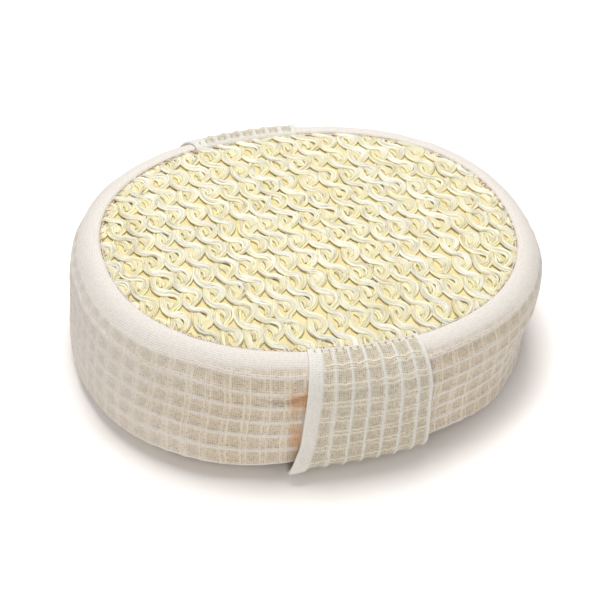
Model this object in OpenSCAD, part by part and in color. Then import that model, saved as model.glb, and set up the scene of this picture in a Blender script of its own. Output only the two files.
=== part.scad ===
// Oval bath and back scrubber: a foam pad in a waffle-weave cotton cover, with a knitted
// sisal scrubbing face on top and a hand strap that runs under the back of the pad.
// +Z is up, the scrubbing face looks up, and the strap lies on the table at z = 0.

/* [Pad] */
// Half length of the scrubbing face, measured to its seam
face_half_x = 66; // [60:1:72]
// Half width of the scrubbing face, measured to its seam
face_half_y = 53; // [48:1:58]
// Height of the face seam above the table
seam_height = 43; // [38:1:48]
// How far the stuffed side wall bulges beyond the face seam
side_bulge = 8; // [6.5:0.5:10]
// Rise of the scrubbing face from its seam to its middle
face_crown = 2.5; // [1:0.5:4]
// How much thicker the pad is at its left end than in the middle
end_thickening = 2.6; // [0:0.2:4]
// How much thicker the pad is at its near side than in the middle
side_thickening = 1.2; // [0:0.2:2]

/* [Cloth] */
// Thickness of the waffle-weave cotton
cotton_thick = 1.5; // [1.2:0.1:1.8]
// Thickness of the knitted sisal
sisal_thick = 2.6; // [2:0.1:3]
// Thickness of the lining under the sisal
lining_thick = 0.6; // [0.4:0.1:0.8]

/* [Strap] */
// Thickness of the strap, which is cotton laid double
strap_thick = 2.4; // [2:0.1:3]
// Width of the strap where it is sewn into the face seam
strap_top_width = 34; // [30:1:38]
// Width of the strap under the pad
strap_width = 41; // [38:1:44]
// Turn of the strap away from straight across the pad, in degrees
strap_skew = 8; // [0:1:10]

/* [Stitches] */
// Thickness of the seam threads
thread_thick = 0.8; // [0.6:0.1:0.9]
// Overlock stitches round the edge of the sisal
overlock_count = 72; // [48:4:90]

/* [Hidden] */

outline_power = 2.2;        // 2 is an ellipse, and more is squarer
sides = 72;                 // points round the pad
gap = 0.3;                  // clearance between pieces
base = strap_thick + gap;   // underside of the pad, which lies on the strap
pad_height = seam_height - base;
top_lean = 3;               // shift of the face to the right of the underside
lean_pivot = 0.44;          // share of the height at which the lean is zero
base_round = 6;             // radius of the lower edge of the side wall
shoulder = 14;              // height of the roll from the side wall to the face seam
groove = 1.8;               // width of the seam that holds the edges of two cloths
face_tuck = 0.6;            // how far the edge of the sisal lies below the face seam
band_reach = 3;             // how far the band runs in under the pad
arc_steps = 6;
strap_mid_x = -2.5;         // where the middle of the strap crosses the middle of the pad
strap_end_angle = 84;       // where the strap ends, on the roll to the face seam
strap_start_angle = -80;    // where it starts, on the lower edge of the side wall

// A point on the face seam, its outward direction, and how far the face rises there
function power(value, exponent) = sign(value) * pow(abs(value), exponent);
function seam_point(angle) = [face_half_x * power(cos(angle), 2 / outline_power),
    face_half_y * power(sin(angle), 2 / outline_power)];
function seam_point_at(x, side) = [x, side * face_half_y
    * pow(1 - pow(abs(x) / face_half_x, outline_power), 1 / outline_power)];
function outward(p) = let (n = [power(p.x / face_half_x, outline_power - 1) / face_half_x,
    power(p.y / face_half_y, outline_power - 1) / face_half_y]) n / norm(n);
function rise(p) = -end_thickening * p.x / face_half_x - side_thickening * p.y / face_half_y;

// The point at a height above the table and a distance out from the seam point p
function settled(q, height) = let (share = (height - base) / pad_height)
    [q.x + top_lean * (share - lean_pivot), q.y, height + rise(q) * share];
function skin(p, out, height) = settled(p + out * outward(p), height);

// The side wall's outline as [out, height] pairs, cloth being its distance from the outer face
function lower_arc(cloth, from, to) = [for (i = [0:arc_steps])
    let (angle = from + (to - from) * i / arc_steps, r = base_round - cloth)
    [side_bulge - base_round + r * cos(angle), base + base_round + r * sin(angle)]];
function upper_arc(cloth, from, to) = [for (i = [0:arc_steps])
    let (angle = from + (to - from) * i / arc_steps)
    [(side_bulge - cloth) * cos(angle), seam_height - shoulder + (shoulder - cloth) * sin(angle)]];
function wall(cloth, from, to) = concat(lower_arc(cloth, from, 0), upper_arc(cloth, 0, to));
function reversed(list) = [for (i = [len(list) - 1:-1:0]) list[i]];

// Rings round the pad
function ring(out, height) = [for (i = [0:sides - 1])
    skin(seam_point(360 * i / sides), out, height)];
function disc_ring(share, inset, height) = [for (i = [0:sides - 1])
    let (p = seam_point(360 * i / sides)) settled(share * (p - inset * outward(p)), height)];
function crown(share) = face_crown * (1 - share * share);

// Triangles between two neighbouring rings, the second one after the first
function band_faces(first, second, count) = [for (i = [0:count - 1])
    let (j = (i + 1) % count)
    each [[first + i, second + i, second + j], [first + i, second + j, first + j]]];

// A closed loop of rings, such as a hem or a hoop of thread
module hoop(rings) {
    count = len(rings[0]);
    polyhedron([for (r = rings) each r], [for (k = [0:len(rings) - 1])
        each band_faces(k * count, ((k + 1) % len(rings)) * count, count)]);
}

// Rings closed by a point at each end, such as a cushion
module dome(rings, first_tip, last_tip) {
    count = len(rings[0]);
    last = (len(rings) - 1) * count;
    tip = len(rings) * count;
    polyhedron(concat([for (r = rings) each r], [first_tip, last_tip]), concat(
        [for (k = [0:len(rings) - 2]) each band_faces(k * count, (k + 1) * count, count)],
        [for (i = [0:count - 1]) [tip, i, (i + 1) % count]],
        [for (i = [0:count - 1]) [tip + 1, last + (i + 1) % count, last + i]]));
}

// Open rings closed by a strip at each end, such as a length of strap
module strip(rings) {
    count = len(rings[0]);
    last = (len(rings) - 1) * count;
    half = count / 2;
    polyhedron([for (r = rings) each r], concat(
        [for (k = [0:len(rings) - 2]) each band_faces(k * count, (k + 1) * count, count)],
        [for (i = [0:half - 2]) let (j = count - 1 - i)
            each [[i, i + 1, j - 1], [i, j - 1, j]]],
        [for (i = [0:half - 2]) let (j = count - 1 - i)
            each [[last + i, last + j - 1, last + i + 1], [last + i, last + j, last + j - 1]]]));
}

// A hoop of thread in a seam
module seam_hoop(out, height, thick) {
    hoop([for (k = [0:5]) ring(out + thick / 2 * cos(60 * k), height + thick / 2 * sin(60 * k))]);
}

// One straight stitch that lies across the seam at the point p
module stitch(p, out, height, size) {
    turn = outward(p);
    translate(skin(p, out, height))
        rotate([0, 0, atan2(turn.y, turn.x)])
            cube(size, center = true);
}

module foam_core() {
    cloth = cotton_thick + 1.3;
    top = seam_height - face_tuck - lining_thick - gap;
    profile = [for (q = wall(cloth, -90, 72)) if (q.y < top - 1) q];
    shares = [1, 0.85, 0.6, 0.3];
    color("khaki") dome(concat([disc_ring(0.5, 2, base + cloth)],
        [for (q = profile) ring(q.x, q.y)],
        [for (s = shares) disc_ring(s, groove + 0.6, top + crown(s))]),
        settled([0, 0], base + cloth), settled([0, 0], top + face_crown));
}

// A crowned sheet that ends at the face seam, from its lower face up
module crowned_sheet(lower, thick) {
    shares = [0.3, 0.6, 0.85, 1];
    dome(concat([for (s = shares) disc_ring(s, groove, lower + crown(s))],
        [for (s = reversed(shares)) disc_ring(s, groove, lower + thick + crown(s))]),
        settled([0, 0], lower + face_crown), settled([0, 0], lower + thick + face_crown));
}

module face_lining() {
    color("lightyellow")
        crowned_sheet(seam_height - face_tuck - lining_thick - gap / 2, lining_thick);
}

module sisal_face() {
    color("ivory") crowned_sheet(seam_height - face_tuck, sisal_thick);
}

module side_band() {
    inner = wall(cotton_thick, -90, 90);
    outer = wall(0, -90, 90);
    loop = concat([[-band_reach, base]], outer, reversed(inner),
        [[-band_reach, base + cotton_thick]]);
    color("seashell") hoop([for (q = loop) ring(q.x, q.y)]);
}

module back_panel() {
    inset = band_reach + groove;
    edge = [for (i = [0:sides - 1]) let (q = skin(seam_point(360 * i / sides), -inset, base))
        [q.x, q.y]];
    color("seashell") translate([0, 0, base]) linear_extrude(cotton_thick) polygon(edge);
}

module top_seam_thread() {
    color("ivory") seam_hoop(-groove / 2, seam_height - 1, thread_thick);
}

module face_overlock_thread() {
    color("tan") for (i = [0:overlock_count - 1])
        stitch(seam_point(360 * (i + 0.5) / overlock_count), -groove / 2, seam_height - 0.1,
            [groove - 0.6, 0.7, 0.6]);
}

module bottom_seam_thread() {
    color("ivory") seam_hoop(-band_reach - groove / 2, base + 0.9, thread_thick);
}

// The band is one strip of cotton, and its ends are joined inside, behind the strap
module band_closing_seam() {
    first = base + base_round + 1;
    last = seam_height - shoulder - 1;
    count = 7;
    color("ivory") for (i = [0:count - 1])
        stitch(seam_point_at(0, -1), side_bulge - cotton_thick - 0.6,
            first + (last - first) * i / (count - 1), [0.5, 3, 0.6]);
}

// The hand-sewn stretch of the lower seam, through which the foam went in
module cover_closing_stitches() {
    count = 9;
    spacing = 5;
    color("ivory") for (i = [0:count - 1])
        stitch(seam_point_at(spacing * (i - (count - 1) / 2) + 14, 1),
            -band_reach - groove / 2, base + 0.2, [groove - 0.6, 0.8, 0.3]);
}

// The middle of the strap along the face seam, on the near side (-1) or the far side (1)
function strap_x(side) = strap_mid_x - side * face_half_y * tan(strap_skew);

// One end of the strap, from under the pad up the side wall to the face seam
module strap_fall(side) {
    columns = 8;
    inner = wall(-gap, strap_start_angle, strap_end_angle);
    outer = wall(-gap - strap_thick, strap_start_angle, strap_end_angle);
    rings = [for (k = [0:len(inner) - 1])
        let (share = (inner[k].y - base) / pad_height,
            width = strap_width + (strap_top_width - strap_width) * share,
            xs = [for (c = [0:columns]) strap_x(side) + side * width * (0.5 - c / columns)])
        concat([for (x = reversed(xs)) skin(seam_point_at(x, side), inner[k].x, inner[k].y)],
            [for (x = xs) skin(seam_point_at(x, side), outer[k].x, outer[k].y)])];
    strip(rings);
}

// The stitches that hold one end of the strap to the face seam
module strap_tack(side) {
    count = 9;
    pitch = (strap_top_width - 4) / (count - 1);
    for (i = [0:count - 1])
        stitch(seam_point_at(strap_x(side) + pitch * (i - (count - 1) / 2), side),
            -0.55, seam_height + 0.9, [1.8, 1.2, 0.6]);
}

module strap_front_fall() {
    color("linen") strap_fall(-1);
}

module strap_back_fall() {
    color("linen") strap_fall(1);
}

module strap_front_tack() {
    color("ivory") strap_tack(-1);
}

module strap_back_tack() {
    color("ivory") strap_tack(1);
}

// One end of the strap's flat run, which stops short of the lower edge of the side wall
function span_end(side) = let (columns = 8, width = strap_width)
    [for (c = [0:columns])
        let (p = seam_point_at(strap_x(side) + side * width * (c / columns - 0.5), side))
        [p.x - top_lean * lean_pivot, p.y + side * (side_bulge - base_round)]];

// The flat run of the strap under the pad: it lifts away from the pad to let a hand in
module strap_span() {
    color("linen") linear_extrude(strap_thick) polygon(concat(span_end(-1), span_end(1)));
}

foam_core();
face_lining();
sisal_face();
side_band();
back_panel();
top_seam_thread();
face_overlock_thread();
bottom_seam_thread();
band_closing_seam();
cover_closing_stitches();
strap_front_fall();
strap_back_fall();
strap_front_tack();
strap_back_tack();
strap_span();
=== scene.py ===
"""Looks of an oval bath scrubber: a stuffed cotton pad with a knitted sisal face and a hand strap."""

import math

import bpy
import numpy as np
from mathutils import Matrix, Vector


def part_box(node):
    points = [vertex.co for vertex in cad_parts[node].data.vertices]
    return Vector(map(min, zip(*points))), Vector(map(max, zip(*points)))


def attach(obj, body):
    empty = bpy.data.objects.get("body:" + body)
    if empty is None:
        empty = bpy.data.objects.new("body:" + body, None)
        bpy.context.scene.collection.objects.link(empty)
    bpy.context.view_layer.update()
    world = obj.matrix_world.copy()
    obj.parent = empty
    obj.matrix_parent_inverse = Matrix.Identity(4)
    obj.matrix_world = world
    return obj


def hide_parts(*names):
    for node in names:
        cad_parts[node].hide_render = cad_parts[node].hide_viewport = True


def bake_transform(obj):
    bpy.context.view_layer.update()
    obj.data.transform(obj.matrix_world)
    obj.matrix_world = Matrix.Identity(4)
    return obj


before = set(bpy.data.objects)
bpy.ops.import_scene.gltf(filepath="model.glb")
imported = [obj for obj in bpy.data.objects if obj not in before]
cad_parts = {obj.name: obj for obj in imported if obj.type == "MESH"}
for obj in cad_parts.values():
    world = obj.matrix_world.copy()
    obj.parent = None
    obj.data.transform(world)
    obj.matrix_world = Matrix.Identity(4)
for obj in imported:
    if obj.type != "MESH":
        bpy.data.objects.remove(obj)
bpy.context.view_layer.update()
MM = 0.001
RNG = np.random.default_rng(7)

# ---------------------------------------------------------------- sizes, from the frame


def node_box(name):
    return tuple(np.array(corner, float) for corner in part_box(name))


thread_low, thread_high = node_box("top_seam_thread")
band_low, band_high = node_box("side_band")
SEAM_INSET = 0.5 * MM  # from the face seam in to the outside of its thread
FACE = (thread_high - thread_low)[:2] / 2 + SEAM_INSET  # half length and half width
SEAM_Z = (thread_low + thread_high)[2] / 2 + 1.0 * MM  # the face seam, above its thread
BASE_Z = node_box("back_panel")[0][2]
BULGE = (band_high - band_low)[1] / 2 - FACE[1]

OUTLINE_POWER = 2.2  # 2 is an ellipse, and more is squarer
END_THICKENING = 3.4 * MM  # how much higher the face seam is at the left end than in the middle
SIDE_THICKENING = 1.2 * MM  # and at the front
TOP_LEAN = 3.0 * MM  # how far the face sits along the pad from its underside
LEAN_PIVOT = 0.44  # the height share that the lean leaves where it is
BASE_ROUND = 6.0 * MM
SHOULDER = 14.0 * MM
BAND_REACH = 3.0 * MM  # from the face seam's outline in to the bottom seam
FACE_CROWN = 3.0 * MM
UNDERSIDE_SAG = 2.0 * MM
FULL_LEFT, FULL_LEFT_WAY = 1.6, math.radians(222)  # mm the low wall stands out, and where
DRAWN_RIGHT, DRAWN_RIGHT_WAY = 3.2, math.radians(336)  # mm the low wall is drawn in, and where
STRAP_SKEW = math.radians(8)
STRAP_MID_X = -2.5 * MM
FLARE_ACROSS = 2.3 * MM  # the strap's loose front corner, along the pad
FLARE_OUT = 1.9 * MM  # and away from it
# where the left and right edges of the front (-1) and back (1) halves run: pairs of a height
# share, from the table up, and a place in mm along the pad
STRAP_EDGES = {-1: (((0.0, -17.6), (0.17, -17.5), (0.44, -17.0), (0.73, -16.5), (1.0, -16.0)),
                    ((0.0, 19.6), (0.25, 19.3), (0.48, 18.8), (0.82, 18.3), (1.0, 17.6))),
               1: (((0.0, -25.5), (0.8, -23.9), (1.0, -22.5)),
                   ((0.0, 14.0), (0.8, 12.4), (1.0, 11.0)))}
SKEW = 0.05  # how far the soft pad has slipped sideways for each step across it
RIDGE_SHIFT = 0.9 * MM  # from the strap's middle to its nearest bold ridge
CREASE_DEPTH = 16.0 * MM  # down the band from the face seam to the crease beside the strap
PITCH_MAJOR = 5.3 * MM  # waffle rows, between the bold ridges
PITCH_MINOR = 6.0 * MM  # waffle columns, between the fine ridges


def power(value, exponent):
    return np.sign(value) * np.abs(value) ** exponent


def smooth(value, start, end):
    share = np.clip((value - start) / (end - start), 0, 1)
    return share * share * (3 - 2 * share)


def seam_point(angle):
    return np.stack([FACE[0] * power(np.cos(angle), 2 / OUTLINE_POWER),
                     FACE[1] * power(np.sin(angle), 2 / OUTLINE_POWER)], -1)


def seam_point_at(x, side):
    y = (1 - np.abs(x / FACE[0]) ** OUTLINE_POWER) ** (1 / OUTLINE_POWER)
    return np.stack([x, side * FACE[1] * y], -1)


def outward(point):
    normal = power(point / FACE, OUTLINE_POWER - 1) / FACE
    return normal / np.linalg.norm(normal, axis=-1, keepdims=True)


def settle(point, height):
    """Leans a plan point with its height, and lifts it where the pad is thicker."""
    share = (height - BASE_Z) / (SEAM_Z - BASE_Z)
    x, y, share = np.broadcast_arrays(point[..., 0], point[..., 1], share)
    rise = -END_THICKENING * x / FACE[0] - SIDE_THICKENING * y / FACE[1]
    return np.stack([x + TOP_LEAN * (share - LEAN_PIVOT), y, height + rise * share], -1)


def sag(point, height):
    """How far the soft underside hangs down beside the strap that it lies on."""
    strap_line = STRAP_MID_X - point[..., 1] * math.tan(STRAP_SKEW)
    beside = smooth(np.abs(point[..., 0] - strap_line), 21 * MM, 42 * MM)
    low = 1 - smooth(height, BASE_Z, BASE_Z + 16 * MM)
    return UNDERSIDE_SAG * beside * low


def fullness(point, height):
    """How far the low wall stands out at its front left, less how far it is drawn in at its right."""
    angle = np.mod(np.arctan2(point[..., 1] / FACE[1], point[..., 0] / FACE[0]), 2 * math.pi)
    low = (smooth(height, BASE_Z, BASE_Z + 5 * MM)
           * (1 - smooth(height, BASE_Z + 10 * MM, SEAM_Z - 8 * MM)))
    left = np.exp(-((angle - FULL_LEFT_WAY) / 0.5) ** 2)
    right = np.exp(-((angle - DRAWN_RIGHT_WAY) / 0.45) ** 2)
    return (FULL_LEFT * left - DRAWN_RIGHT * right) * MM * low


def wobble(point, height):
    """The slight unevenness of a hand-filled cover."""
    angle = np.arctan2(point[..., 1] / FACE[1], point[..., 0] / FACE[0])
    lift = height / SEAM_Z
    waves = (np.sin(5 * angle + 1.1 + 2.0 * lift) + 0.8 * np.sin(9 * angle + 4.0 - 3.1 * lift)
             + 0.6 * np.sin(14 * angle + 0.4 + 5.0 * lift) + 0.4 * np.sin(23 * angle + 2.2))
    return 0.22 * MM * waves * np.sin(np.clip(lift, 0, 1) * math.pi) ** 0.7


def skin(point, out, height):
    """A point of the cover, from its seam point, its distance outward and its height."""
    reach = out + wobble(point, height) + fullness(point, height)
    plan = point + reach[..., None] * outward(point)
    place = settle(plan, height)
    place[..., 2] -= sag(plan, height)
    return place


def evenly(path, step):
    """The path's points again, an even step apart, and their distances along it."""
    path = np.asarray(path, float)
    runs = np.linalg.norm(np.diff(path, axis=0), axis=1)
    along = np.concatenate([[0], np.cumsum(runs)])
    count = max(2, int(round(along[-1] / step)) + 1)
    places = np.linspace(0, along[-1], count)
    return np.stack([np.interp(places, along, column) for column in path.T], -1), places


def arc(centre, radii, start, end, count=24):
    turn = np.radians(np.linspace(start, end, count))
    return [(centre[0] + radii[0] * math.cos(a), centre[1] + radii[1] * math.sin(a)) for a in turn]


def wall_path(start=90, end=-90):
    """The side wall as (out, height) pairs, from the face seam down to the underside."""
    return (arc((0, SEAM_Z - SHOULDER), (BULGE, SHOULDER), start, 0)
            + arc((BULGE - BASE_ROUND, BASE_Z + BASE_ROUND), (BASE_ROUND,) * 2, 0, end))


def raised(path, lift):
    """A wall path moved out along its own normals by the lift at each point."""
    along = np.gradient(path, axis=0)
    along /= np.linalg.norm(along, axis=1, keepdims=True)
    return path + np.stack([-along[:, 1], along[:, 0]], -1) * lift[:, None]


# ---------------------------------------------------------------- meshes


def mesh_object(name, points, quads, uvs=None, values=None, material=None):
    """A smooth mesh from quads; uvs holds one pair for each corner of each quad."""
    mesh = bpy.data.meshes.new(name)
    points = np.array(points, np.float32)
    points[:, 0] -= SKEW * points[:, 1]
    quads = np.asarray(quads, np.int32)
    mesh.vertices.add(len(points))
    mesh.vertices.foreach_set("co", points.ravel())
    mesh.loops.add(quads.size)
    mesh.loops.foreach_set("vertex_index", quads.ravel())
    mesh.polygons.add(len(quads))
    mesh.polygons.foreach_set("loop_start", np.arange(0, quads.size, 4, dtype=np.int32))
    mesh.update(calc_edges=True)
    if uvs is not None:
        layer = mesh.uv_layers.new(name="cloth")
        layer.data.foreach_set("uv", np.asarray(uvs, np.float32).ravel())
    for key, value in (values or {}).items():
        attribute = mesh.attributes.new(key, "FLOAT", "POINT")
        attribute.data.foreach_set("value", np.asarray(value, np.float32).ravel())
    mesh.polygons.foreach_set("use_smooth", np.ones(len(quads), bool))
    mesh.validate()
    piece = bpy.data.objects.new(name, mesh)
    bpy.context.scene.collection.objects.link(piece)
    if material:
        mesh.materials.append(material)
    return piece


def grid_quads(rows, columns, wrap_rows=False, wrap_columns=False):
    """Quads over a grid of points, and each quad corner's row and column before wrapping."""
    i, j = np.meshgrid(np.arange(rows - (not wrap_rows)), np.arange(columns - (not wrap_columns)),
                       indexing="ij")
    i, j = i.ravel(), j.ravel()
    corner_rows = np.stack([i, i + 1, i + 1, i], -1)
    corner_columns = np.stack([j, j, j + 1, j + 1], -1)
    quads = (corner_rows % rows) * columns + corner_columns % columns
    return quads, corner_rows, corner_columns


def grid_normals(points, wrap_rows=False):
    """Unit normals of a grid of points, from the directions along its rows and columns."""
    padded = np.concatenate([points[-1:], points, points[:1]]) if wrap_rows else points
    down = np.gradient(padded, axis=0)
    if wrap_rows:
        down = down[1:-1]
    across = np.gradient(points, axis=1)
    normal = np.cross(down, across)
    return normal / np.maximum(np.linalg.norm(normal, axis=-1, keepdims=True), 1e-12)


def tube_mesh(paths, radii, sides):
    """Points, quads and corner uvs of tubes along paths; each has a radius at every point."""
    points, quads, uvs, count = [], [], [], 0
    for path, radius in zip(paths, radii):
        tangent = np.gradient(path, axis=0)
        tangent /= np.maximum(np.linalg.norm(tangent, axis=1, keepdims=True), 1e-12)
        side = np.cross(tangent, [0, 0, 1.0])
        length = np.linalg.norm(side, axis=1, keepdims=True)
        side = np.where(length > 1e-3, side / np.maximum(length, 1e-9), [1.0, 0, 0])
        top = np.cross(side, tangent)
        along = np.concatenate([[0], np.cumsum(np.linalg.norm(np.diff(path, axis=0), axis=1))])
        angle = np.linspace(0, 2 * math.pi, sides, endpoint=False)[None, :]
        reach = radius[:, None]
        ring = (path[:, None, :] + (reach * np.cos(angle))[..., None] * side[:, None, :]
                + (reach * np.sin(angle))[..., None] * top[:, None, :])
        n = len(path)
        faces, rows, columns = grid_quads(n, sides, wrap_columns=True)
        points.append(ring.reshape(-1, 3))
        quads.append(faces + count)
        uvs.append(np.stack([along[rows], columns / sides], -1))
        for end, first in ((0, True), (n - 1, False)):
            start = count + end * sides
            k = np.arange(1, sides - 1, 2)
            cap = np.stack([np.full_like(k, start), start + k, start + k + 1, start + (k + 2) % sides], -1)
            quads.append(cap if first else cap[:, ::-1])
            uvs.append(np.zeros((len(cap), 4, 2)))
        count += n * sides
    return np.concatenate(points), np.concatenate(quads), np.concatenate(
        [u.reshape(-1, 4, 2) for u in uvs])


def tube_object(name, paths, radius, sides, material):
    radii = [np.full(len(path), radius) for path in paths]
    points, quads, uvs = tube_mesh(paths, radii, sides)
    return mesh_object(name, points, quads, uvs, material=material)


def spline(points, per_span=8):
    """A smooth curve through the points."""
    points = np.asarray(points, float)
    padded = np.concatenate([2 * points[:1] - points[1:2], points, 2 * points[-1:] - points[-2:-1]])
    t = np.linspace(0, 1, per_span, endpoint=False)[:, None]
    curve = []
    for a, b, c, d in zip(padded, padded[1:], padded[2:], padded[3:]):
        curve.append(0.5 * (2 * b + (c - a) * t + (2 * a - 5 * b + 4 * c - d) * t ** 2
                            + (3 * b - a - 3 * c + d) * t ** 3))
    return np.concatenate(curve + [points[-1:]])


# ---------------------------------------------------------------- materials


def add(tree, kind, inputs=None, **settings):
    """A shader node with its settings, and its inputs as values or as sockets to link."""
    node = tree.nodes.new(kind)
    for key, value in settings.items():
        setattr(node, key, value)
    for key, value in (inputs or {}).items():
        if isinstance(value, bpy.types.NodeSocket):
            tree.links.new(value, node.inputs[key])
        else:
            node.inputs[key].default_value = value
    return node


def new_material(name, roughness, **constants):
    material = bpy.data.materials.new(name)
    material.use_nodes = True
    tree = material.node_tree
    shader = tree.nodes["Principled BSDF"]
    shader.inputs["Roughness"].default_value = roughness
    for key, value in constants.items():
        shader.inputs[key.replace("_", " ")].default_value = value
    return material, tree, shader


def math_node(tree, operation, first, second=0.0):
    return add(tree, "ShaderNodeMath", {0: first, 1: second}, operation=operation).outputs[0]


def mix_colour(tree, share, first, second):
    node = add(tree, "ShaderNodeMix", {0: share, 6: first, 7: second}, data_type="RGBA")
    return node.outputs[2]


def linear(red, green, blue):
    """A colour as written for a screen, 0 to 255, made linear for the shaders."""
    def channel(value):
        value /= 255
        return value / 12.92 if value <= 0.04045 else ((value + 0.055) / 1.055) ** 2.4
    return (channel(red), channel(green), channel(blue), 1.0)


def ramp(tree, value, low, high):
    node = add(tree, "ShaderNodeMapRange", {0: value, 1: low, 2: high}, interpolation_type="SMOOTHSTEP")
    return node.outputs[0]


def cotton(name, ridge, cell, stitch):
    """Waffle cotton: a fine open weave, with raised white ridges and pairs of cream threads.

    The uv runs along the cream threads' pitch in u and the white ridges' pitch in v."""
    material, tree, shader = new_material(
        name, 0.94, Sheen_Weight=0.12, Sheen_Roughness=0.5, Specular_IOR_Level=0.15)
    uv = add(tree, "ShaderNodeUVMap", uv_map="cloth").outputs[0]

    def stretched(across, along, detail=2.0):
        scale = add(tree, "ShaderNodeMapping", {0: uv, 3: (across, along, 1.0)}).outputs[0]
        return add(tree, "ShaderNodeTexNoise", {"Vector": scale, "Scale": 1.0, "Detail": detail}).outputs[0]

    def shifted(value, noise, amount):
        return math_node(tree, "ADD", value, math_node(
            tree, "MULTIPLY", math_node(tree, "SUBTRACT", noise, 0.5), amount))

    def times(*values):
        product = values[0]
        for value in values[1:]:
            product = math_node(tree, "MULTIPLY", product, value)
        return product

    def to_line(value, pitch):
        """Distance to the nearest of the lines one pitch apart."""
        return math_node(tree, "PINGPONG", math_node(tree, "ADD", value, 400 * pitch), 0.5 * pitch)

    split = add(tree, "ShaderNodeSeparateXYZ", {0: uv})
    u = shifted(split.outputs[0], stretched(90.0, 420.0), 0.9 * MM)
    v = shifted(split.outputs[1], stretched(420.0, 90.0), 0.9 * MM)
    # laid shows where the weave is drawn; on the band it also fades towards the two ends, which is painted
    # light
    laid = add(tree, "ShaderNodeAttribute", attribute_name="laid").outputs["Fac"]
    warm_shade = add(tree, "ShaderNodeAttribute", attribute_name="warm_shade").outputs["Fac"]
    relief = add(tree, "ShaderNodeAttribute", attribute_name="relief").outputs["Fac"]
    fuzz = stretched(1500.0, 1500.0, 3.0)
    near_ridge = shifted(to_line(v, PITCH_MAJOR), fuzz, 1.1 * MM)
    ridge_line = times(ramp(tree, near_ridge, 0.72 * MM, 0.15 * MM), laid)
    pair = math_node(tree, "ABSOLUTE", math_node(tree, "SUBTRACT", to_line(u, PITCH_MINOR), 0.85 * MM))
    cream_line = times(ramp(tree, shifted(pair, fuzz, 0.5 * MM), 0.50 * MM, 0.12 * MM),
                       ramp(tree, stretched(500.0, 120.0), 0.30, 0.55), laid)
    warp = math_node(tree, "SINE", times(u, 2 * math.pi / (0.72 * MM)))
    weft = math_node(tree, "SINE", times(v, 2 * math.pi / (0.72 * MM)))
    threads = math_node(tree, "MAXIMUM", warp, weft)
    gap = times(ramp(tree, threads, 0.75, -0.3), ramp(tree, stretched(900.0, 900.0), 0.40, 0.62))
    slub_u = ramp(tree, stretched(230.0, 2100.0), 0.42, 0.72)
    slub_v = ramp(tree, stretched(2100.0, 230.0), 0.42, 0.72)
    place = add(tree, "ShaderNodeTexCoord").outputs["Object"]
    cloud = add(tree, "ShaderNodeTexNoise", {"Vector": place, "Scale": 60.0, "Detail": 3.0}).outputs[0]
    open_cell = math_node(tree, "ADD", times(laid, 0.7), 0.3)
    base = mix_colour(tree, times(laid, ramp(tree, cloud, 0.25, 0.75)), ridge, cell)
    # partly painted shade: where the relief is low, the cells are pulled towards the cell colour, which is
    # partly the cotton's own cream and partly painted shade in the recesses; the raised parts keep the
    # lighter ridge colour
    base = mix_colour(tree, times(laid, ramp(tree, relief, 0.9, 0.1), 0.8), base, cell)
    base = mix_colour(tree, times(math_node(tree, "MAXIMUM", slub_u, slub_v), open_cell, 0.40), base, stitch)
    base = mix_colour(tree, times(gap, open_cell, 0.72), base, linear(132, 112, 88))
    base = mix_colour(tree, times(cream_line, 0.85), base, stitch)
    base = mix_colour(tree, times(ridge_line, 0.82), base, ridge)
    # painted shade: a warm orange-tan patch beside the strap's left edge stands in for the strap's shade and
    # the light bounced off it
    base = mix_colour(tree, warm_shade, base, linear(198, 142, 84))
    tree.links.new(base, shader.inputs["Base Color"])
    height = math_node(tree, "ADD", times(threads, 0.35), times(fuzz, 0.6))
    height = math_node(tree, "ADD", height, times(cream_line, 1.1))
    height = math_node(tree, "ADD", height, times(ridge_line, 0.8))
    bump = add(tree, "ShaderNodeBump", {"Strength": 0.9, "Distance": 0.16 * MM, "Height": height})
    tree.links.new(bump.outputs[0], shader.inputs["Normal"])
    return material


# sisal colours: a whiter top colour, the painted highlight of raised yarn; a deeper yellow, the painted
# shade of low-lying yarn that also colours the fibres' own darker streaks; pale and grey for the fibres' own
# tone
SISAL_LIT_TOP = linear(253, 249, 228)
SISAL_SHADE_AND_STREAK = linear(243, 228, 168)
SISAL_PALE = linear(255, 253, 242)
SISAL_GREY = linear(240, 233, 200)


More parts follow.
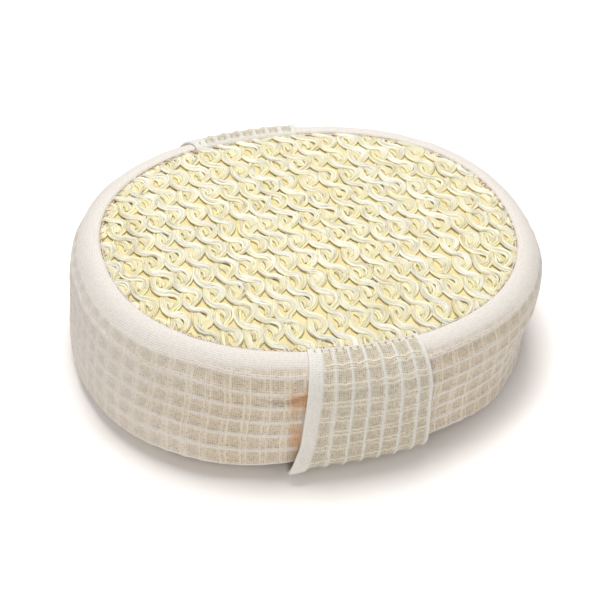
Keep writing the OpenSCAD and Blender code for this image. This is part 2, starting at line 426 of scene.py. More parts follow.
def sisal(name):
    """Glossy, slightly translucent bast fibres that run along the yarn."""
    material, tree, shader = new_material(
        name, 0.5, Specular_IOR_Level=0.4, Sheen_Weight=0.1, Subsurface_Weight=0.5,
        Subsurface_Radius=(1.0, 0.95, 0.85), Subsurface_Scale=1.6 * MM)
    uv = add(tree, "ShaderNodeUVMap", uv_map="cloth").outputs[0]
    fine = add(tree, "ShaderNodeTexNoise", {"Vector": add(
        tree, "ShaderNodeMapping", {0: uv, 3: (140.0, 30.0, 1.0)}).outputs[0],
        "Scale": 1.0, "Detail": 4.0, "Roughness": 0.65}).outputs[0]
    broad = add(tree, "ShaderNodeTexNoise", {"Vector": add(
        tree, "ShaderNodeMapping", {0: uv, 3: (90.0, 7.0, 1.0)}).outputs[0],
        "Scale": 1.0, "Detail": 1.0}).outputs[0]
    place = add(tree, "ShaderNodeTexCoord").outputs["Object"]
    cloud = add(tree, "ShaderNodeTexNoise", {"Vector": place, "Scale": 150.0, "Detail": 2.0}).outputs[0]
    raised_share = add(tree, "ShaderNodeAttribute", attribute_name="raised").outputs["Fac"]
    # painted shade and painted highlight: the yarn is yellower where it lies low and whiter where it stands
    # high
    base = mix_colour(tree, ramp(tree, raised_share, 0.3, 1.0), SISAL_SHADE_AND_STREAK, SISAL_LIT_TOP)
    base = mix_colour(tree, math_node(tree, "MULTIPLY", ramp(tree, fine, 0.42, 0.68), 0.4), base, SISAL_PALE)
    streak = math_node(tree, "MULTIPLY", ramp(tree, broad, 0.55, 0.75), 0.35)
    base = mix_colour(tree, streak, base, SISAL_SHADE_AND_STREAK)
    base = mix_colour(tree, math_node(tree, "MULTIPLY", ramp(tree, cloud, 0.5, 0.8), 0.25), base, SISAL_GREY)
    tree.links.new(base, shader.inputs["Base Color"])
    height = math_node(tree, "ADD", fine, math_node(tree, "MULTIPLY", broad, 1.2))
    bump = add(tree, "ShaderNodeBump", {"Strength": 0.75, "Distance": 0.18 * MM, "Height": height})
    tree.links.new(bump.outputs[0], shader.inputs["Normal"])
    return material


def thread(name, light, dark):
    """Twisted sewing thread."""
    material, tree, shader = new_material(name, 0.7, Sheen_Weight=0.2)
    uv = add(tree, "ShaderNodeUVMap", uv_map="cloth").outputs[0]
    split = add(tree, "ShaderNodeSeparateXYZ", {0: uv})
    turn = math_node(tree, "ADD", math_node(tree, "MULTIPLY", split.outputs[0], 2 * math.pi / (0.9 * MM)),
                     math_node(tree, "MULTIPLY", split.outputs[1], 4 * math.pi))
    ply = math_node(tree, "SINE", turn)
    base = mix_colour(tree, ramp(tree, ply, -1.0, 0.4), dark, light)
    tree.links.new(base, shader.inputs["Base Color"])
    bump = add(tree, "ShaderNodeBump", {"Strength": 0.8, "Distance": 0.1 * MM, "Height": ply})
    tree.links.new(bump.outputs[0], shader.inputs["Normal"])
    return material


def soft_sheet(name, light, dark, grain, depth):
    """A plain fibrous or porous surface, such as the lining or the foam."""
    material, tree, shader = new_material(name, 0.85, Subsurface_Weight=0.2,
                                          Subsurface_Scale=1.5 * MM, Sheen_Weight=0.1)
    place = add(tree, "ShaderNodeTexCoord").outputs["Object"]
    cloud = add(tree, "ShaderNodeTexNoise", {"Vector": place, "Scale": 120.0, "Detail": 3.0})
    pores = add(tree, "ShaderNodeTexVoronoi", {"Vector": place, "Scale": grain})
    base = mix_colour(tree, ramp(tree, cloud.outputs[0], 0.3, 0.7), light, dark)
    base = mix_colour(tree, math_node(tree, "MULTIPLY", ramp(tree, pores.outputs[0], 0.5, 0.1), 0.3),
                      base, dark)
    tree.links.new(base, shader.inputs["Base Color"])
    bump = add(tree, "ShaderNodeBump", {"Strength": 0.6, "Distance": depth, "Height": pores.outputs[0]})
    tree.links.new(bump.outputs[0], shader.inputs["Normal"])
    return material


BAND_COTTON = cotton("band_cotton", linear(219, 214, 208), linear(196, 183, 162), linear(228, 215, 190))
STRAP_COTTON = cotton("strap_cotton", linear(219, 217, 211), linear(187, 179, 162), linear(228, 218, 194))
SISAL = sisal("sisal_yarn")
LINING = soft_sheet("lining_cloth", linear(224, 210, 162), linear(212, 196, 146), 900.0, 0.2 * MM)
FOAM = soft_sheet("foam", linear(246, 224, 150), linear(226, 196, 110), 1500.0, 0.3 * MM)
WHITE_THREAD = thread("white_thread", linear(226, 220, 208), linear(178, 166, 148))
TAN_THREAD = thread("tan_thread", linear(222, 190, 142), linear(188, 150, 104))

# ---------------------------------------------------------------- waffle cloth


def ridges(position, pitch, width, sharpness):
    """Ridges one pitch apart, 0 in the cells and 1 along the ridge tops."""
    distance = np.abs((position / pitch + 0.5) % 1 - 0.5) * pitch
    return np.exp(-(distance / width) ** sharpness)


def waffle(bold, fine, square=0.0):
    """The weave's relief: bold ridges one way, low double threads the other, or as high where square."""
    major = ridges(bold, PITCH_MAJOR, 0.95 * MM, 2.0)
    minor = ridges(fine, PITCH_MINOR, 1.35 * MM, 3.0)
    return 1 - (1 - major) * (1 - (0.42 + 0.40 * square) * minor)


RELIEF = 0.66 * MM
CLOTH_THICK = 1.1 * MM


def band_piece():
    """The side band: a closed ring of waffle cotton, tucked in at both seams."""
    turn = np.linspace(0, 2 * math.pi, 4001)
    rim = seam_point(turn) + BULGE * outward(seam_point(turn))
    lengths = np.concatenate([[0], np.cumsum(np.linalg.norm(np.diff(rim, axis=0), axis=1))])
    cells = round(lengths[-1] / PITCH_MINOR)
    rows = cells * 8
    around = np.linspace(0, lengths[-1], rows, endpoint=False)
    angle = np.interp(around, lengths, turn)
    tuck = 1.1 * MM
    path = ([(-tuck, SEAM_Z - 2.4 * MM)] + arc((0, SEAM_Z - tuck), (tuck, tuck), 180, 90, 8)
            + wall_path() + arc((-BAND_REACH, BASE_Z + tuck), (tuck, tuck), 270, 180, 8)
            + [(-BAND_REACH - tuck, BASE_Z + 2.4 * MM)])
    profile, down = evenly(path, 0.455 * MM)
    seam = seam_point(angle)[:, None, :]
    surface = skin(seam, profile[None, :, 0], np.broadcast_to(profile[None, :, 1], (rows, len(down))))
    normal = grid_normals(surface, wrap_rows=True)
    if (normal[:, len(down) // 2] * (surface[:, len(down) // 2])).sum() < 0:
        normal = -normal
    from_seam = down - down[np.argmin(np.abs(profile[:, 0]) + (profile[:, 1] < SEAM_Z - tuck))]
    ends = np.abs(seam[..., 0] / FACE[0]) ** 3
    plain = (5.5 + 3.0 * ends) * MM
    fade = smooth(from_seam[None, :], plain - 1.5 * MM, plain + 2 * MM)
    fade = fade * (1 - smooth(down[None, :], down[-1] - 6 * MM, down[-1] - 3 * MM))
    drift = 0.35 * MM * np.sin(5 * angle + 0.7) + 0.25 * MM * np.sin(11 * angle + 2.0)
    bold = from_seam[None, :] - 2.4 * MM + drift[:, None]
    bend = 0.3 * MM * np.sin(from_seam / (4 * MM))
    fine = (around * PITCH_MINOR * cells / lengths[-1])[:, None] + bend[None, :]
    pattern = waffle(bold, fine, ends)
    pucker = smooth(from_seam, -2 * MM, 0.5 * MM) * (1 - smooth(from_seam, 2 * MM, 9 * MM))
    folds = np.sin(around / (3.1 * MM)) + 0.7 * np.sin(around / (1.9 * MM) + 2)
    height = RELIEF * fade * (pattern - 0.5) + 0.08 * MM * folds[:, None] * pucker[None, :]
    beside = surface[..., 0] - STRAP_EDGES[-1][0][1][1] * MM
    front = surface[..., 1] < 0
    crease_line = CREASE_DEPTH - 1.2 * MM * (beside / (7 * MM) + 1) ** 2
    crease = front * smooth(beside, -14 * MM, -8 * MM) * (beside < 1 * MM)
    height -= 1.0 * MM * crease * np.exp(-((from_seam[None, :] - crease_line) / (0.7 * MM)) ** 2)
    outer = surface + normal * height[..., None]
    inside = np.linspace(len(down) - 1, 0, 8).astype(int)
    inner = surface[:, inside] - normal[:, inside] * CLOTH_THICK
    points = np.concatenate([outer, inner], axis=1)
    columns = points.shape[1]
    quads, r, c = grid_quads(rows, columns, wrap_rows=True, wrap_columns=True)
    both = np.concatenate([np.arange(len(down)), inside])
    lap = (r // rows) * cells * PITCH_MINOR
    uvs = np.stack([fine[r % rows, both[c % columns]] + lap, bold[r % rows, both[c % columns]]], -1)
    # painted light: towards the band's two ends most of the darker cell colouring is taken off, so these
    # ends come out lighter, as if lit more fully than the front
    laid = (fade * (1 - 0.9 * ends))[:, both] * (np.arange(columns) < len(down))
    warm_shade = np.zeros((rows, columns))
    # painted shade on the band beside the strap's left edge, warm like light bounced off the strap, in
    # uneven patches from about a centimetre below the face seam downwards
    patches = 0.5 + 0.3 * np.sin(from_seam / (2.4 * MM) + 1.5) + 0.2 * np.sin(beside / (1.1 * MM))
    shade_patch = front * smooth(beside, -6.5 * MM, -2.5 * MM) * (beside < 4 * MM) * patches
    warm_shade[:, :len(down)] = 0.95 * shade_patch * smooth(from_seam[None, :], 9 * MM, 15 * MM)
    return mesh_object("side_band_cloth", points.reshape(-1, 3), quads, uvs,
                       {"laid": laid, "warm_shade": warm_shade, "relief": pattern[:, both]}, BAND_COTTON)


def oval_share(point):
    """0 in the middle of the face and 1 at its seam."""
    return (np.abs(point / FACE) ** OUTLINE_POWER).sum(-1) ** (1 / OUTLINE_POWER)


def seam_distance(point):
    """How far a plan point lies inside the face seam."""
    share = np.maximum(oval_share(point), 1e-6)
    slope = share ** (1 - OUTLINE_POWER) * np.linalg.norm(
        np.abs(point / FACE) ** (OUTLINE_POWER - 1) / FACE, axis=-1)
    return (1 - share) / np.maximum(slope, 1 / FACE[0] * 0.8)


def face_height(point):
    """Height of the lining's top above the table, before the pad's slant."""
    share = oval_share(point)
    edge = np.maximum(seam_distance(point), 0)
    return SEAM_Z - 1.3 * MM + FACE_CROWN * (1 - share ** 2.4) - 0.7 * MM * np.exp(-edge / (1.6 * MM))


def crowned_piece(name, drop, thick, inset, material, bumps=0.0):
    """A thin crowned sheet under the knit, as a closed shell."""
    turns = np.linspace(0, 2 * math.pi, 160, endpoint=False)
    shares = np.linspace(0.02, 1, 44)
    rim = seam_point(turns)
    rim = rim - inset * outward(rim)
    plan = shares[None, :, None] * rim[:, None, :]
    z = face_height(plan) - drop
    z = z + bumps * (np.sin(plan[..., 0] / (1.05 * MM)) * np.sin(plan[..., 1] / (1.5 * MM)))
    top = settle(plan, z)
    below = settle(plan, z - thick)
    points = np.concatenate([top, below[:, ::-1]], axis=1)
    quads, r, c = grid_quads(len(turns), points.shape[1], wrap_rows=True, wrap_columns=True)
    uvs = np.concatenate([plan, plan[:, ::-1]], axis=1)[r % len(turns), c % points.shape[1]]
    return mesh_object(name, points.reshape(-1, 3), quads, uvs, material=material)


# ---------------------------------------------------------------- the sisal knit

KNIT_ACROSS = np.array([6.56, 0.0]) * MM  # to the next column of loops
KNIT_DOWN = np.array([0.30, -9.48]) * MM    # to the next loop in a column
YARN = 0.62 * MM  # half the yarn's height
YARN_LIFT = 0.34 * MM  # from the face's crowned surface up to the middle of the yarns
YARN_RELIEF = 0.72  # share of the loops' rise and fall that is left when they are pressed flat
LOOSE_FIBRES = 2200  # tries, of which those from short paths or off the face are dropped
KNIT_SIDES = 6
STRANDS = ((-0.76, 0.44), (-0.27, 0.50), (0.24, 0.49), (0.72, 0.44))  # across the yarn, and radius, mm
UNDER = np.array([(0.9, -9.4, -0.40), (2.1, -11.0, -0.10), (2.6, -12.8, -0.05), (2.3, -14.6, -0.35)]) * MM
# One loop, as the yarn leaves from under the loop above: across, down and height, in mm
LOOP = np.array([
    (0.10, 0.0, -0.40), (-0.75, -2.8, 0.05), (-0.85, -5.9, 0.32), (0.65, -8.5, 0.50),
    (2.80, -9.3, 0.45), (4.45, -10.7, 0.42), (4.65, -12.7, 0.28), (3.40, -14.6, -0.05),
    (1.75, -15.9, -0.35)]) * MM


def knit_paths():
    """The yarns of the knit, each a run of loops that skips every other one, inside the seam."""
    paths = []

    def keep(knots):
        curve, _ = evenly(spline(knots, 7), 0.79 * MM)
        edge = seam_distance(curve[:, :2])
        inside = edge > 0.35 * MM
        breaks = np.flatnonzero(np.diff(inside.astype(int))) + 1
        for run in np.split(np.arange(len(curve)), breaks):
            if len(run) > 3 and inside[run[0]]:
                paths.append(curve[run])

    def loop_knots(shape, start):
        shift = RNG.normal(0, 0.28 * MM, 2)
        stretch = 1 + RNG.normal(0, 0.06)
        return [(start[0] + across * stretch + shift[0], start[1] + down + shift[1],
                 height * (1 + RNG.normal(0, 0.14)) + RNG.normal(0, 0.06 * MM))
                for across, down, height in shape]

    for column in range(-12, 13):
        for phase in (0, 1):
            starts = [warp_grid(column, 2 * step + phase) for step in range(-9, 9)]
            keep([knot for start in starts for knot in loop_knots(LOOP, start)])
            for start in starts:
                keep(loop_knots(UNDER, start))
    return paths


def wander(count, size):
    """A smooth random drift, the same length as a path."""
    knots = RNG.normal(0, size, count // 5 + 3)
    return np.interp(np.arange(count), np.arange(len(knots)) * 5 - RNG.uniform(0, 5), knots)


def warp_grid(column, row):
    """Where a loop starts: the columns wander a little, as in hand-guided knitting."""
    place = column * KNIT_ACROSS + row * KNIT_DOWN
    return place + 0.35 * MM * np.array([math.sin(row * 0.55 + column),
                                         0.7 * math.sin(column * 0.8 + row * 0.3)])


def on_face(curve):
    """Lays a curve, whose heights count from the lining, on the crowned face."""
    plan = curve[:, :2]
    edge = np.maximum(seam_distance(plan), 0)
    sink = 0.25 * MM * np.exp(-((edge - 0.3 * MM) / (1.1 * MM)) ** 2)
    relief = YARN_RELIEF * curve[:, 2] * smooth(edge, 0, 3 * MM)
    height = face_height(plan) + YARN_LIFT + relief - sink
    return settle(plan, height)


def knit_piece(name, flat_paths):
    """A share of the yarns, each a flat bundle of strands."""
    paths, radii, raised_shares = [], [], []
    for flat in flat_paths:
        along = np.gradient(flat, axis=0)
        side = np.stack([along[:, 1], -along[:, 0]], -1)
        side /= np.maximum(np.linalg.norm(side, axis=1, keepdims=True), 1e-9)
        for across, radius in STRANDS:
            offset = across * MM + wander(len(flat), 0.19 * MM)
            strand = flat.copy()
            strand[:, :2] += side * offset[:, None]
            strand[:, 2] += 0.16 * MM * (1 - (across / 0.9) ** 2) + wander(len(flat), 0.09 * MM)
            paths.append(on_face(strand))
            thickness = radius * MM * (1 + wander(len(flat), 0.10))
            radii.append(thickness)
            # the yarn's height share with a random shift for each strand; the sisal shader turns it into
            # painted shade low down and painted highlight on top
            share = 0.45 + flat[:, 2] / (1.6 * MM) + RNG.normal(0, 0.12)
            raised_shares.append(np.repeat(np.clip(share, 0, 1), KNIT_SIDES))
    points, quads, uvs = tube_mesh(paths, radii, KNIT_SIDES)
    return mesh_object(name, points, quads, uvs, {"raised": np.concatenate(raised_shares)}, SISAL)


def fibre_piece(flat_paths):
    """Loose fibres that have worked out of the yarn."""
    fibres, radii = [], []
    for _ in range(LOOSE_FIBRES):
        path = flat_paths[RNG.integers(len(flat_paths))]
        if len(path) < 14:
            continue
        start = RNG.integers(0, len(path) - 11)
        run = path[start:start + 11].copy()
        drift = np.linspace(0, 1, 11)[:, None] ** 1.5
        run[:, :2] += drift * RNG.normal(0, 0.9 * MM, 2) + RNG.normal(0, 0.45 * MM, 2)
        run[:, 2] += YARN * 0.95 + drift[:, 0] * abs(RNG.normal(0, 0.5 * MM))
        if (seam_distance(run[:, :2]) < 0.3 * MM).any():
            continue
        fibres.append(on_face(run))
        radii.append(np.linspace(0.09, 0.04, 11) * MM)
    points, quads, uvs = tube_mesh(fibres, radii, 3)
    # every loose fibre takes the top colour, the painted highlight of raised yarn
    return mesh_object("sisal_loose_fibres", points, quads, uvs,
                       {"raised": np.ones(len(points))}, SISAL)


def edge_at(table, share):
    """A strap edge's place along the pad at a height share, from its table."""
    heights, places = zip(*table)
    dense = np.linspace(0, 1, 41)
    soft = np.interp(dense, heights, places)
    for _ in range(12):
        soft[1:-1] = (soft[:-2] + 2 * soft[1:-1] + soft[2:]) / 4
    return np.interp(share, dense, soft) * MM


# ---------------------------------------------------------------- the strap


def strap_half(name, side):
    """Half of the strap: up one side wall from the middle of the flat run to the face seam."""
    across = np.linspace(-1, 1, 86)
    # down the wall, from the tucked end in the seam to the start of the flat run
    path, along = evenly(wall_path(86, -90), 0.56 * MM)
    lift = (0.30 + 1.40 * smooth(along, 1 * MM, 16 * MM)) * MM
    path = raised(path, lift)
    tip = np.array([(-1.9 * MM, SEAM_Z - 1.2 * MM), (-1.1 * MM, SEAM_Z + 0.1 * MM)])
    profile, _ = evenly(np.concatenate([tip, path]), 0.56 * MM)
    share = np.clip((profile[:, 1] - BASE_Z) / (SEAM_Z - BASE_Z), 0, 1)
    left, right = [edge_at(table, share) for table in STRAP_EDGES[side]]
    x = left[:, None] + 0.5 * (1 + across[None, :]) * (right - left)[:, None]
    out = np.broadcast_to(profile[:, :1], x.shape).copy()
    height = np.broadcast_to(profile[:, 1:], x.shape).copy()
    if side < 0:
        corner = smooth(-across, 0.55, 1.0)[None, :] * (1 - smooth(share, 0.02, 0.32))[:, None]
        out += FLARE_OUT * corner
        x = x - FLARE_ACROSS * corner
    wall = skin(seam_point_at(x, side), out, height)
    wall[..., 2] = np.maximum(wall[..., 2], 0.9 * MM)
    ends = {}
    for end in (-1, 1):
        (_, low_left), (_, low_right) = STRAP_EDGES[end][0][0], STRAP_EDGES[end][1][0]
        ex = 0.5 * MM * (low_left * (1 - across) + low_right * (1 + across))
        point = seam_point_at(ex, end)
        low = point + (BULGE - BASE_ROUND) * outward(point)
        ends[end] = np.column_stack([low[:, 0] - TOP_LEAN * LEAN_PIVOT, low[:, 1]])
    steps = np.linspace(0, 0.5, 100)[1:, None, None]
    flat = ends[side] + steps * (ends[-side] - ends[side])
    if side < 0:
        turning = smooth(-across, 0.55, 1.0)[None, :] * (1 - smooth(steps[:, :, 0], 0.0, 0.16))
        flat[..., 0] -= FLARE_ACROSS * turning
        flat[..., 1] -= FLARE_OUT * turning
    flat = np.concatenate([flat, np.full(flat.shape[:2] + (1,), 1.0 * MM)], axis=-1)
    surface = np.concatenate([wall, flat])
    normal = grid_normals(surface)
    middle = len(wall) // 2
    if (normal[middle, :, 1] * side).sum() < 0:
        normal = -normal
    lateral = np.gradient(surface, axis=1)
    lateral /= np.linalg.norm(lateral, axis=-1, keepdims=True)
    runs = np.linalg.norm(np.diff(surface[:, len(across) // 2], axis=0), axis=1)
    down = np.concatenate([[0], np.cumsum(runs)])
    from_middle = side * (down[-1] - down)
    width_here = np.linalg.norm(surface[:, -1] - surface[:, 0], axis=1)
    width_full = width_here[len(wall) // 2]
    bold = np.tile(0.5 * width_full * across + RIDGE_SHIFT, (len(down), 1))
    sagging = (np.abs((bold / PITCH_MAJOR + 0.5) % 1 - 0.5) * 2) ** 2
    fine = from_middle[:, None] + side * 0.5 * MM * sagging
    pattern = waffle(bold, fine)
    from_edge = 0.5 * width_here[:, None] * (1 - np.abs(across))[None, :]
    hem_width = np.where(across < 0, 4.2, 1.2)[None, :] * MM
    hem = 1 - smooth(from_edge, hem_width - 0.8 * MM, hem_width + 0.2 * MM)
    top_fade = smooth(down, 1.0 * MM, 4 * MM)[:, None]
    fade = (1 - hem) * top_fade
    thin = 1 - 0.45 * (1 - smooth(down, 2 * MM, 10 * MM))[:, None]
    outer_lift = thin * (0.45 * MM + RELIEF * fade * (pattern - 0.5) + 0.22 * MM * hem)
    outer = surface + normal * outer_lift[..., None]
    inner_columns = np.linspace(len(across) - 1, 0, 26).astype(int)
    inner = surface[:, inner_columns] - normal[:, inner_columns] * (0.75 * MM * thin)[..., None]
    right_edge = [surface[:, -1] + lateral[:, -1] * 0.6 * MM * math.sin(a)
                  + normal[:, -1] * 0.7 * MM * thin * math.cos(a) for a in (0.8, 1.57, 2.35)]
    left_edge = [surface[:, 0] - lateral[:, 0] * 0.6 * MM * math.sin(a)
                 + normal[:, 0] * 0.7 * MM * thin * math.cos(a) for a in (2.35, 1.57, 0.8)]
    loop = np.concatenate([outer, np.stack(right_edge, 1), inner, np.stack(left_edge, 1)], axis=1)
    rows, columns = loop.shape[:2]
    quads, r, c = grid_quads(rows, columns, wrap_columns=True)
    caps = []
    halfway = columns // 2
    for row in (0, rows - 1):
        k = np.arange(halfway - 1)
        start = row * columns
        cap = np.stack([start + k, start + k + 1, start + columns - 2 - k, start + columns - 1 - k], -1)
        caps.append(cap if row == 0 else cap[:, ::-1])
    source = np.concatenate([np.arange(len(across)), [len(across) - 1] * 3, inner_columns, [0] * 3])
    u, v = fine[:, source], bold[:, source]
    laid = fade[:, source] * (np.arange(columns) < len(across))
    corner_uv = np.stack([u[r, c % columns], v[r, c % columns]], -1)
    uvs = np.concatenate([corner_uv] + [np.zeros((len(cap), 4, 2)) for cap in caps])
    half = mesh_object(name, loop.reshape(-1, 3), np.concatenate([quads] + caps), uvs,
                       {"laid": laid, "warm_shade": np.zeros_like(laid), "relief": pattern[:, source]},
                       STRAP_COTTON)
    # flat-shaded ends keep the weave's shading unbroken where the two halves meet
    half.data.polygons.foreach_set("use_smooth", np.arange(len(half.data.polygons)) < len(quads))
    return half


# ---------------------------------------------------------------- back, core and threads


def back_piece():
    """The waffle oval that closes the pad underneath."""
    inset = BAND_REACH + 0.9 * MM
    turns = np.linspace(0, 2 * math.pi, 360, endpoint=False)
    shares = np.linspace(0.01, 1, 96)
    rim = seam_point(turns)
    rim = rim - inset * outward(rim)
    plan = shares[None, :, None] * rim[:, None, :]
    pattern = waffle(plan[..., 1], plan[..., 0])
    edge = seam_distance(plan) - inset
    fade = smooth(edge, 0.5 * MM, 3 * MM)
    z = BASE_Z + 0.1 * MM - 0.42 * MM * fade * (pattern - 0.4)
    z = z + 1.2 * MM * (1 - smooth(edge, -0.5 * MM, 1.0 * MM))
    under = np.concatenate([plan - [TOP_LEAN * LEAN_PIVOT, 0], (z - sag(plan, z))[..., None]], -1)
    above = under + [0, 0, CLOTH_THICK]
    points = np.concatenate([under, above[:, ::-1]], axis=1)
    quads, r, c = grid_quads(len(turns), points.shape[1], wrap_rows=True, wrap_columns=True)
    uvs = np.concatenate([plan, plan[:, ::-1]], axis=1)[r % len(turns), c % points.shape[1]]
    laid = np.concatenate([fade, np.zeros_like(fade)], axis=1)
    relief = np.concatenate([pattern, pattern[:, ::-1]], axis=1)
    return mesh_object("back_panel_cloth", points.reshape(-1, 3), quads, uvs,
                       {"laid": laid, "warm_shade": np.zeros_like(laid), "relief": relief}, BAND_COTTON)


def core_piece():
    """The foam block inside the cover."""
    turns = np.linspace(0, 2 * math.pi, 144, endpoint=False)
    seam = seam_point(turns)[:, None, :]
    path, _ = evenly(wall_path(80, -90), 2 * MM)
    path = raised(path, np.full(len(path), -2.0 * MM))
    wall = skin(seam, path[None, :, 0], np.broadcast_to(path[None, :, 1], (144, len(path))))
    shares = np.linspace(0.04, 0.97, 16)
    plan = shares[None, :, None] * (seam - 1.5 * MM * outward(seam))
    top = settle(plan, face_height(plan) - 1.6 * MM)
    low_plan = shares[None, ::-1, None] * seam
    bottom_z = np.full(low_plan.shape[:2], BASE_Z + 2.4 * MM)
    low = settle(low_plan, bottom_z)
    low[..., 2] -= sag(low_plan, bottom_z)
    points = np.concatenate([top, wall, low], axis=1)
    quads, r, c = grid_quads(144, points.shape[1], wrap_rows=True, wrap_columns=True)
    uvs = np.stack([r / 144, c / points.shape[1]], -1)
    return mesh_object("foam_block", points.reshape(-1, 3), quads, uvs, material=FOAM)


def seam_curve(turns, out, height):
    seam = seam_point(turns)
    return skin(seam, np.broadcast_to(out, turns.shape), np.broadcast_to(height, turns.shape))


def overlock_piece():
    """Tan thread whipped round the cut edge of the sisal, glimpsed between its loops."""
    count = 116
    turns = np.linspace(0, 2 * math.pi, count * 8, endpoint=False)
    phase = np.arange(count * 8) * 2 * math.pi / 8
    shown = 0.45 * np.sin(3 * turns + 1.0) + 0.35 * np.sin(7 * turns + 0.5)
    out = -(1.7 + 0.75 * np.cos(phase)) * MM
    height = SEAM_Z + (-0.75 + 0.5 * shown + 0.22 * np.sin(phase)) * MM
    path = seam_curve(turns, out, height)
    return tube_object("face_overlock", [np.concatenate([path, path[:1]])], 0.15 * MM, 6, TAN_THREAD)


def seam_thread(name, out, height):
    turns = np.linspace(0, 2 * math.pi, 721)
    out = out + 0.12 * MM * np.sin(turns * 180)
    return tube_object(name, [seam_curve(turns, out, height)], 0.3 * MM, 6, WHITE_THREAD)


def bar_stitches(name, starts, ends, radius, rise):
    """Short stitches between pairs of points."""
    paths = []
    for start, end in zip(starts, ends):
        t = np.linspace(0, 1, 7)[:, None]
        path = start * (1 - t) + end * t
        path[:, 2] += rise * np.sin(t[:, 0] * math.pi)
        paths.append(path)
    return tube_object(name, paths, radius, 6, WHITE_THREAD)


def tack_piece(name, side):
    left, right = [table[-1][1] * MM for table in STRAP_EDGES[side]]
    x = np.linspace(left + 1.5 * MM, right - 1.5 * MM, 15)
    seam = seam_point_at(x, side)
    height = np.full(len(x), SEAM_Z + 1.0 * MM)
    starts = skin(seam, np.full(len(x), -1.2 * MM), height - 1.4 * MM)
    ends = skin(seam, np.full(len(x), 0.7 * MM), height + 0.35 * MM)
    return bar_stitches(name, starts, ends, 0.16 * MM, 0.1 * MM)


def closing_piece():
    x = np.linspace(-20, 20, 12) * MM + 14 * MM
    seam = seam_point_at(x, 1)
    height = np.full(len(x), BASE_Z + 0.1 * MM)
    starts = skin(seam, np.full(len(x), -BAND_REACH + 0.6 * MM), height)
    ends = skin(seam_point_at(x + 1.2 * MM, 1), np.full(len(x), -BAND_REACH - 2.2 * MM), height)
    return bar_stitches("cover_closing_thread", starts, ends, 0.22 * MM, -0.35 * MM)


def band_seam_piece():
    height = np.linspace(BASE_Z + 7 * MM, SEAM_Z - 15 * MM, 8)
    left = seam_point_at(np.full(8, -1.8 * MM), -1)
    right = seam_point_at(np.full(8, 1.8 * MM), -1)
    out = np.full(8, BULGE - 1.9 * MM)
    return bar_stitches("band_closing_thread", skin(left, out, height),
                        skin(right, out, height + 0.8 * MM), 0.22 * MM, 0.0)


# ---------------------------------------------------------------- make and place the pieces


def place(piece, body, slot, *nodes):
    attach(piece, body)
    if nodes:
        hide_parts(*nodes)
    return piece


band = place(band_piece(), "pad", "waffle_cotton", "side_band")
back = place(back_piece(), "pad", "waffle_cotton", "back_panel")
core = place(core_piece(), "pad", "foam", "foam_core")
lining = place(crowned_piece("lining_cloth", 0.0, 0.5 * MM, 1.2 * MM, LINING, 0.05 * MM),
               "pad", "lining", "face_lining")
yarns = sorted(knit_paths(), key=len)  # by length, so that every other one is an even half
knits = [place(knit_piece(name, yarns[part::2]), "pad", "sisal_yarn", "sisal_face")
         for part, name in enumerate(("sisal_knit", "sisal_knit_between"))]
fibres = place(fibre_piece(yarns), "pad", "sisal_yarn")
place(overlock_piece(), "pad", "tan_thread", "face_overlock_thread")
place(seam_thread("top_seam_stitching", -1.5 * MM, SEAM_Z - 0.9 * MM),
      "pad", "cotton_thread", "top_seam_thread")
place(seam_thread("bottom_seam_stitching", -BAND_REACH - 0.8 * MM, BASE_Z + 0.5 * MM),
      "pad", "cotton_thread", "bottom_seam_thread")
place(band_seam_piece(), "pad", "cotton_thread", "band_closing_seam")
place(closing_piece(), "pad", "cotton_thread", "cover_closing_stitches")
place(tack_piece("strap_front_tack_thread", -1), "pad", "cotton_thread", "strap_front_tack")
place(tack_piece("strap_back_tack_thread", 1), "pad", "cotton_thread", "strap_back_tack")

strap_pieces = {}
for side, end_name in ((-1, "front"), (1, "back")):
    half = strap_half(f"strap_{end_name}_half", side)
    strap_pieces[end_name] = half
    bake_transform(half)
    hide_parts(f"strap_{end_name}_fall", "strap_span")

# ---------------------------------------------------------------- floor, light and camera

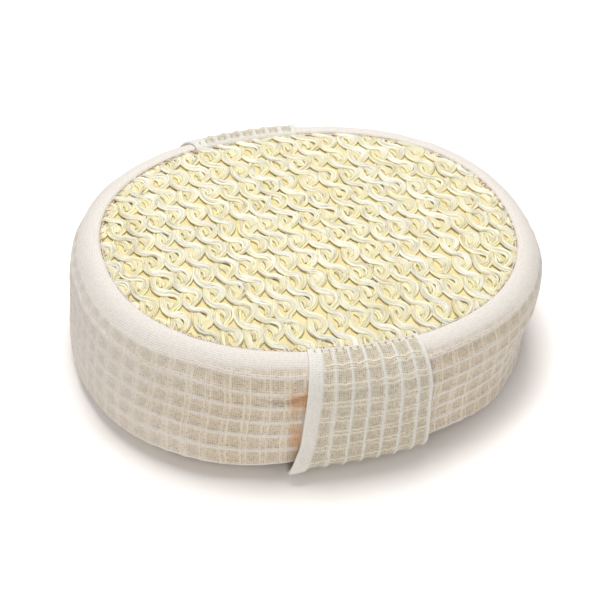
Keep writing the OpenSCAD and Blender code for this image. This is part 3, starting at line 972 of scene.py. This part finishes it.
floor = bpy.data.objects.new("floor", bpy.data.meshes.new("floor"))
floor.data.from_pydata([(-3, -3, 0), (3, -3, 0), (3, 3, 0), (-3, 3, 0)], [], [(0, 1, 2, 3)])
floor.location.z = -0.1 * MM
white, tree, shader = new_material("studio_white", 0.9, Specular_IOR_Level=0.1)
shader.inputs["Base Color"].default_value = (0.93, 0.90, 0.885, 1)
shader.inputs["Emission Color"].default_value = (1, 1, 1, 1)
shader.inputs["Emission Strength"].default_value = 0.03
floor.data.materials.append(white)
bpy.context.scene.collection.objects.link(floor)

world = bpy.data.worlds.new("studio")
world.use_nodes = True
world.node_tree.nodes["Background"].inputs[0].default_value = (1.0, 1.0, 1.0, 1)
world.node_tree.nodes["Background"].inputs[1].default_value = 0.43
bpy.context.scene.world = world


def area_light(name, location, size, watts, colour):
    lamp = bpy.data.lights.new(name, "AREA")
    lamp.energy = watts
    lamp.color = colour
    lamp.size = size
    light = bpy.data.objects.new(name, lamp)
    light.location = location
    light.rotation_euler = (-Vector(location)).to_track_quat("-Z", "Y").to_euler()
    bpy.context.scene.collection.objects.link(light)


area_light("key", (0.02, 0.20, 1.07), 0.50, 11.2, (1.0, 0.99, 0.98))
area_light("fill", (-0.25, -0.95, 0.30), 0.6, 2.3, (1.0, 0.96, 0.92))

CAMERA_DISTANCE = 0.852
CAMERA_RISE = 11.3  # mm along the camera's own up, so that the pad is near the picture's middle
LENS = 157.25
azimuth, elevation = math.radians(-14.3), math.radians(44.0)
back_way = Vector((math.sin(azimuth) * math.cos(elevation), -math.cos(azimuth) * math.cos(elevation),
                   math.sin(elevation)))
up_way = Vector((-math.sin(azimuth) * math.sin(elevation), math.cos(azimuth) * math.sin(elevation),
                 math.cos(elevation)))
lens = bpy.data.cameras.new("camera")
lens.lens = LENS
camera = bpy.data.objects.new("camera", lens)
camera.location = (Vector((-TOP_LEAN * LEAN_PIVOT, 0, 0)) + back_way * CAMERA_DISTANCE
                   + up_way * CAMERA_RISE * MM)
camera.rotation_euler = (-back_way).to_track_quat("-Z", "Y").to_euler()
bpy.context.scene.collection.objects.link(camera)
bpy.context.scene.camera = camera
bpy.context.scene.view_settings.view_transform = "Standard"
